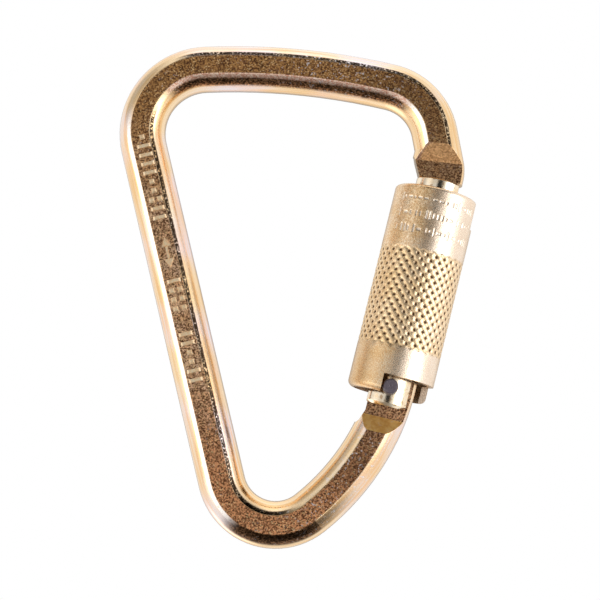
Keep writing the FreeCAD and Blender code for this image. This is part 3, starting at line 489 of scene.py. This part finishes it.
gold = plated_frame_metal()
satin = plated_sleeve_metal()
bright = plated_gate_metal()
violet = bare_steel("pin_steel_metal", (0.125, 0.100, 0.125), (0.19, 0.155, 0.175), 0.5, 0.35)
steel = bare_steel("bare_steel_metal", (0.40, 0.37, 0.34), (0.56, 0.52, 0.47), 0.3, 1.0)
wire = spring_steel()
marked = marks_with_painted_highlight()
PAINT = {
    "frame": gold,
    "lock_sleeve": satin,
    "gate_body": bright,
    "hinge_pin": violet,
    "latch_pin": steel,
    "spring_plunger": steel,
    "sleeve_bush": steel,
    "retaining_ring": wire,
    "gate_spring": wire,
    "sleeve_spring": wire,
}
for node, paint in PAINT.items():
    for place_in_row in nodes[node].material_slots:
        place_in_row.material = paint

# --- shapes -------------------------------------------------------------------------------------
def add_object(name, mesh, body, paint):
    piece = bpy.data.objects.new(name, mesh)
    bpy.context.scene.collection.objects.link(piece)
    mesh.materials.clear()
    mesh.materials.append(paint)
    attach(piece, body)
    return piece


def prism(points, low, high):
    """A closed prism over an outline in x and y, from low to high in z, in millimetres."""
    bm = bmesh.new()
    bottom = [bm.verts.new((x, y, low)) for x, y in points]
    top = [bm.verts.new((x, y, high)) for x, y in points]
    bm.faces.new(list(reversed(bottom)))
    bm.faces.new(top)
    for i in range(len(points)):
        j = (i + 1) % len(points)
        bm.faces.new((bottom[i], bottom[j], top[j], top[i]))
    bmesh.ops.recalc_face_normals(bm, faces=bm.faces)
    mesh = bpy.data.meshes.new("cutter")
    bm.to_mesh(mesh)
    bm.free()
    return mesh


def carve(mesh, cutters):
    """The mesh less the cutters, all closed and in the same units."""
    link = bpy.context.scene.collection.objects.link
    solid = bpy.data.objects.new("solid", mesh)
    link(solid)
    tools = []
    for cutter in cutters:
        tool = bpy.data.objects.new("tool", cutter)
        link(tool)
        tools.append(tool)
        step = solid.modifiers.new("cut", "BOOLEAN")
        step.operation = "DIFFERENCE"
        step.solver = "MANIFOLD"
        step.object = tool
    bpy.context.view_layer.update()
    graph = bpy.context.evaluated_depsgraph_get()
    result = bpy.data.meshes.new_from_object(solid.evaluated_get(graph))
    for scrap in [solid, *tools]:
        bpy.data.objects.remove(scrap)
    return result


CORNER = 42.0                    # degrees between faces above which an edge stays sharp


def place(mesh, where):
    """Millimetres in a local frame to metres in the row frame, smooth but for its corners."""
    mesh.transform(Matrix.Scale(MM, 4))
    mesh.transform(where)
    mesh.polygons.foreach_set("use_smooth", [True] * len(mesh.polygons))
    mesh.set_sharp_from_angle(angle=math.radians(CORNER))
    return mesh


# lock sleeve, in millimetres along the gate from the hinge pin
SLEEVE_RADIUS = 10.8
SLEEVE_FOOT, SLEEVE_TOP = -1.65, 51.9
FOOT_ROUNDING, TOP_ROUNDING = 1.6, 1.0
BORE_RADIUS, CHAMBER_RADIUS, CHAMBER_TOP = 6.08, 9.1, 40.0
NOTCH_TOP, NOTCH_GAP, TWIST = 2.85, 2.35, math.radians(103)
SLOT_HALF, SLOT_FLOOR = 3.2, 44.5
KNURL_FOOT, KNURL_ROWS = 10.0, 10
DIAMONDS = 28
DIAMOND_HEIGHT = 2.56
STEPS = 16                       # grid steps across one diamond
GROOVE_DEPTH, GROOVE_SHARE = 0.36, 0.34
KNURL_FADE = 0.5
STAMP_DEPTH = 0.13
FALLING_DEPTH, RISING_DEPTH, CROSSING_CURVE = 0.30, 0.48, 0.5
PIT_FROM, PIT_GAIN = 0.10, 2.6
ARC_STEPS = 8
BAND_STEP, BAND_CLEAR = 1.0, 0.4                        # grid rows on the smooth band by the foot
STAMP_MARKS = ((0.4, 1.0), (0.4, 1.0), (1.1, 0.28), (0.5, 0.3), (0.4, 0.6))   # width, height share
STAMP_LINES = ((48.3, 2.1), (44.2, 2.3), (40.2, 2.1))   # middle and height of each stamped line
STAMP_SEED, STAMP_START, STAMP_END = 11, -9.5, 12
STAMP_GAPS = (0.55, 0.65, 1.3)
SKIN = 0.01                      # how near the full radius a place is to count as outside
INNER_OUTWARD, INNER_UPRIGHT = 0.3, 0.8
CUT_REACH, CUT_CLEAR = 14.0, 1


def sleeve_profile():
    """(radius, height) up the outside and down the inside; the outside is finely stepped."""
    step = DIAMOND_HEIGHT / STEPS
    knurl_top = KNURL_FOOT + KNURL_ROWS * DIAMOND_HEIGHT
    rows = [(CHAMBER_RADIUS, SLEEVE_FOOT)]
    for k in range(ARC_STEPS + 1):
        a = math.radians(90 * k / ARC_STEPS)
        rows.append((SLEEVE_RADIUS - FOOT_ROUNDING * (1 - math.sin(a)),
                     SLEEVE_FOOT + FOOT_ROUNDING * (1 - math.cos(a))))
    band_foot = SLEEVE_FOOT + FOOT_ROUNDING + BAND_STEP
    band = np.arange(band_foot, KNURL_FOOT - BAND_CLEAR, BAND_STEP)
    rows += [(SLEEVE_RADIUS, h) for h in band]
    rows += [(SLEEVE_RADIUS, KNURL_FOOT + k * step) for k in range(KNURL_ROWS * STEPS + 1)]
    smooth_top = SLEEVE_TOP - TOP_ROUNDING
    count = int((smooth_top - knurl_top) / step)
    for k in range(count):
        rows.append((SLEEVE_RADIUS, knurl_top + (k + 1) * (smooth_top - knurl_top) / count))
    for k in range(1, ARC_STEPS + 1):
        a = math.radians(90 * k / ARC_STEPS)
        rows.append((SLEEVE_RADIUS - TOP_ROUNDING * (1 - math.cos(a)),
                     smooth_top + TOP_ROUNDING * math.sin(a)))
    rows += [(BORE_RADIUS, SLEEVE_TOP), (BORE_RADIUS, CHAMBER_TOP), (CHAMBER_RADIUS, CHAMBER_TOP)]
    return np.array(rows)


def knurl(angle, height):
    """Depth of the diamond grooves, and how far each place is down in a pit where two cross."""
    across = angle / (2 * math.pi) * DIAMONDS
    along = (height - KNURL_FOOT) / DIAMOND_HEIGHT
    top = KNURL_FOOT + KNURL_ROWS * DIAMOND_HEIGHT
    inside = np.clip(np.minimum(height - KNURL_FOOT, top - height) / KNURL_FADE, 0, 1)
    grooves = []
    for phase in (across - along, across + along):
        gap = np.abs(phase - np.round(phase))
        grooves.append(np.clip(1 - gap / GROOVE_SHARE, 0, 1))
    falling, rising = grooves
    crossing = falling * rising
    single = np.maximum(FALLING_DEPTH * falling, RISING_DEPTH * rising)
    depth = GROOVE_DEPTH * np.maximum(single, crossing ** CROSSING_CURVE) * inside
    pit = np.clip((crossing - PIT_FROM) * PIT_GAIN, 0, 1) * inside
    return depth, pit


def stamps(angle, height):
    """Depth of three lines of plain tally marks: bars, dashes and dots, no characters."""
    rng = np.random.default_rng(STAMP_SEED)
    across = angle * SLEEVE_RADIUS
    depth = np.zeros_like(across)
    for middle, tall in STAMP_LINES:
        x = STAMP_START
        while x < STAMP_END:
            wide, high = STAMP_MARKS[rng.integers(0, len(STAMP_MARKS))]
            in_width = np.abs(across - x - wide / 2) < wide / 2
            in_height = np.abs(height - middle) < tall * high / 2
            depth[in_width & in_height] = STAMP_DEPTH
            x += wide + rng.choice(STAMP_GAPS)
    return depth


def mark_inner_faces(mesh):
    """A face attribute that is 1 on the bore, the chamber and the walls of the cuts."""
    count = len(mesh.polygons)
    middle = np.zeros(count * 3)
    normal = np.zeros(count * 3)
    mesh.polygons.foreach_get("center", middle)
    mesh.polygons.foreach_get("normal", normal)
    middle, normal = middle.reshape(-1, 3), normal.reshape(-1, 3)
    radius = np.hypot(middle[:, 0], middle[:, 1])
    outward = (middle[:, 0] * normal[:, 0] + middle[:, 1] * normal[:, 1]) / radius
    inner = (radius < SLEEVE_RADIUS - GROOVE_DEPTH) & (outward < INNER_OUTWARD)
    inner &= np.abs(normal[:, 2]) < INNER_UPRIGHT
    mesh.attributes.new("inner", "FLOAT", "FACE").data.foreach_set("value", inner.astype(float))


def make_sleeve():
    """The lock sleeve with its knurl and stamps, standing in for the plain one from CAD."""
    rows = sleeve_profile()
    count = DIAMONDS * STEPS
    angles = np.linspace(0, 2 * math.pi, count, endpoint=False)
    wrapped = (angles + math.pi) % (2 * math.pi) - math.pi
    angle, height = np.meshgrid(wrapped, rows[:, 1])
    radius = np.repeat(rows[:, :1], count, 1)
    outside = radius > SLEEVE_RADIUS - SKIN
    depth, pit = knurl(angle, height)
    stamped = stamps(angle, height)
    radius = radius - np.where(outside, depth + stamped, 0)
    pit = np.where(outside, pit, 0)
    stamp = np.where(outside, stamped / STAMP_DEPTH, 0)
    # angle 0 is the front and grows towards the outer side
    xyz = np.stack([radius * np.sin(angle), -radius * np.cos(angle), height], 2).reshape(-1, 3)
    mesh = bpy.data.meshes.new("lock_sleeve_knurled")
    total = len(rows)
    faces = []
    for r in range(total):
        low, high = r * count, ((r + 1) % total) * count
        for c in range(count):
            n = (c + 1) % count
            faces.append((low + c, low + n, high + n, high + c))
    mesh.from_pydata(xyz.tolist(), [], faces)
    for name, values in (("pit", pit), ("stamp", stamp)):
        mesh.attributes.new(name, "FLOAT", "POINT").data.foreach_set("value", values.ravel())
    bm = bmesh.new()
    bm.from_mesh(mesh)
    bmesh.ops.recalc_face_normals(bm, faces=bm.faces)
    bm.to_mesh(mesh)
    bm.free()
    along = (math.sin(TWIST), -math.cos(TWIST))
    across = (math.cos(TWIST), math.sin(TWIST))
    gap = (across[0] * NOTCH_GAP, across[1] * NOTCH_GAP)
    notch = prism([
        (-NOTCH_GAP, -CUT_REACH),
        (-NOTCH_GAP, 0),
        gap,
        (along[0] * CUT_REACH + gap[0], along[1] * CUT_REACH + gap[1]),
        (1.5 * CUT_REACH, -CUT_REACH),
    ], SLEEVE_FOOT - CUT_CLEAR, NOTCH_TOP)
    slot = prism([
        (0, -SLOT_HALF),
        (CUT_REACH, -SLOT_HALF),
        (CUT_REACH, SLOT_HALF),
        (0, SLOT_HALF),
    ], SLOT_FLOOR, SLEEVE_TOP + CUT_CLEAR)
    mesh = carve(mesh, [notch, slot])
    mark_inner_faces(mesh)
    mesh = place(mesh, GATE)
    piece = add_object("lock_sleeve_knurled", mesh, "sleeve", satin)
    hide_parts("lock_sleeve")
    return piece


# marks on the spine's front flat, in millimetres: along the spine from its lower end, and sizes
SPINE_TOP, SPINE_FOOT = Vector((-40.1, 0, -10.3)), Vector((-24.3, 0, -80.0))
FLAT_FRONT = -5.5
MARK_HEIGHT, MARK_BURIED, MARK_SLOPE = 0.36, 0.1, 0.30
MARK_TALL = 3.2
MARK_GROUPS = ((2.0, 24.5), (40.5, 50.0), (54.5, 67.5))
ARROW_FROM, ARROW_TO = 29.0, 37.0
ARROW_HEAD, ARROW_WIDE, ARROW_STEM, ARROW_OVERLAP = 2.4, 1.25, 0.3, 0.2
MARK_SEED, MARK_PITCH = 3, 2.4
BAR_WIDE, PAIR_SIZE, SQUARE_SIZE = 1.0, 1.2, 1.1


def make_spine_marks():
    """Plain raised bars, dots and a double-headed arrow in place of forged lettering."""
    down = (SPINE_FOOT - SPINE_TOP).normalized()
    side = Vector((down.z, 0, -down.x))
    bm = bmesh.new()

    def raised(points):
        """A low block over an outline given along and across the spine, with sloping sides."""
        middle = sum((Vector(p) for p in points), Vector((0, 0))) / len(points)
        rings = []
        for depth, grow in ((MARK_BURIED, MARK_SLOPE), (-MARK_HEIGHT, -MARK_SLOPE)):
            ring = []
            for point in points:
                away = Vector(point) - middle
                spot = Vector(point) + away.normalized() * grow
                on_flat = SPINE_TOP + down * spot.x + side * spot.y
                ring.append(bm.verts.new((on_flat.x, FLAT_FRONT + depth, on_flat.z)))
            rings.append(ring)
        low, high = rings
        bm.faces.new(high)
        bm.faces.new(list(reversed(low)))
        for i in range(len(points)):
            j = (i + 1) % len(points)
            bm.faces.new((low[i], low[j], high[j], high[i]))

    def block(along, across, long, wide):
        raised([(along - long / 2, across - wide / 2), (along + long / 2, across - wide / 2),
                (along + long / 2, across + wide / 2), (along - long / 2, across + wide / 2)])

    rng = np.random.default_rng(MARK_SEED)
    for start, end in MARK_GROUPS:
        along = start
        while along < end:
            kind = rng.integers(0, 3)
            if kind == 0:
                block(along, 0, BAR_WIDE, MARK_TALL)
            elif kind == 1:
                for across in (-MARK_TALL / 3, MARK_TALL / 3):
                    block(along, across, PAIR_SIZE, PAIR_SIZE)
            else:
                block(along, 0, SQUARE_SIZE, SQUARE_SIZE)
            along += MARK_PITCH
    stem = ARROW_TO - ARROW_FROM - 2 * ARROW_HEAD + ARROW_OVERLAP
    block((ARROW_FROM + ARROW_TO) / 2, 0, stem, 2 * ARROW_STEM)
    for tip, way in ((ARROW_FROM, 1), (ARROW_TO, -1)):
        root = tip + way * ARROW_HEAD
        raised([(tip, 0), (root, ARROW_WIDE), (root, -ARROW_WIDE)])
    bmesh.ops.recalc_face_normals(bm, faces=bm.faces)
    mesh = bpy.data.meshes.new("spine_marks")
    bm.to_mesh(mesh)
    bm.free()
    mesh.transform(Matrix.Scale(MM, 4))
    return add_object("spine_marks", mesh, "frame", marked)


FLOOR_RADIUS, FLOOR_DROP = 1.0, 0.12
FLOOR_PATCH, FLOOR_ROUGH = 0.05, 0.9
FLOOR_DARK, FLOOR_PALE = (0.80, 0.80, 0.80), (0.83, 0.83, 0.83)


def make_floor():
    """A pale disc far enough below that the main view looks over it."""
    bm = bmesh.new()
    bmesh.ops.create_circle(bm, cap_ends=True, radius=FLOOR_RADIUS, segments=96)
    mesh = bpy.data.meshes.new("floor")
    bm.to_mesh(mesh)
    bm.free()
    s = Surface("floor_paint")
    tone = s.g.mix(s.speckle(FLOOR_PATCH), FLOOR_DARK, FLOOR_PALE)
    floor = bpy.data.objects.new("floor", mesh)
    mesh.materials.append(s.finish(tone, FLOOR_ROUGH))
    floor.location.z = cad_box[0].z - FLOOR_DROP
    floor.visible_glossy = False
    floor.visible_diffuse = False
    bpy.context.scene.collection.objects.link(floor)


make_sleeve()
make_spine_marks()
make_floor()
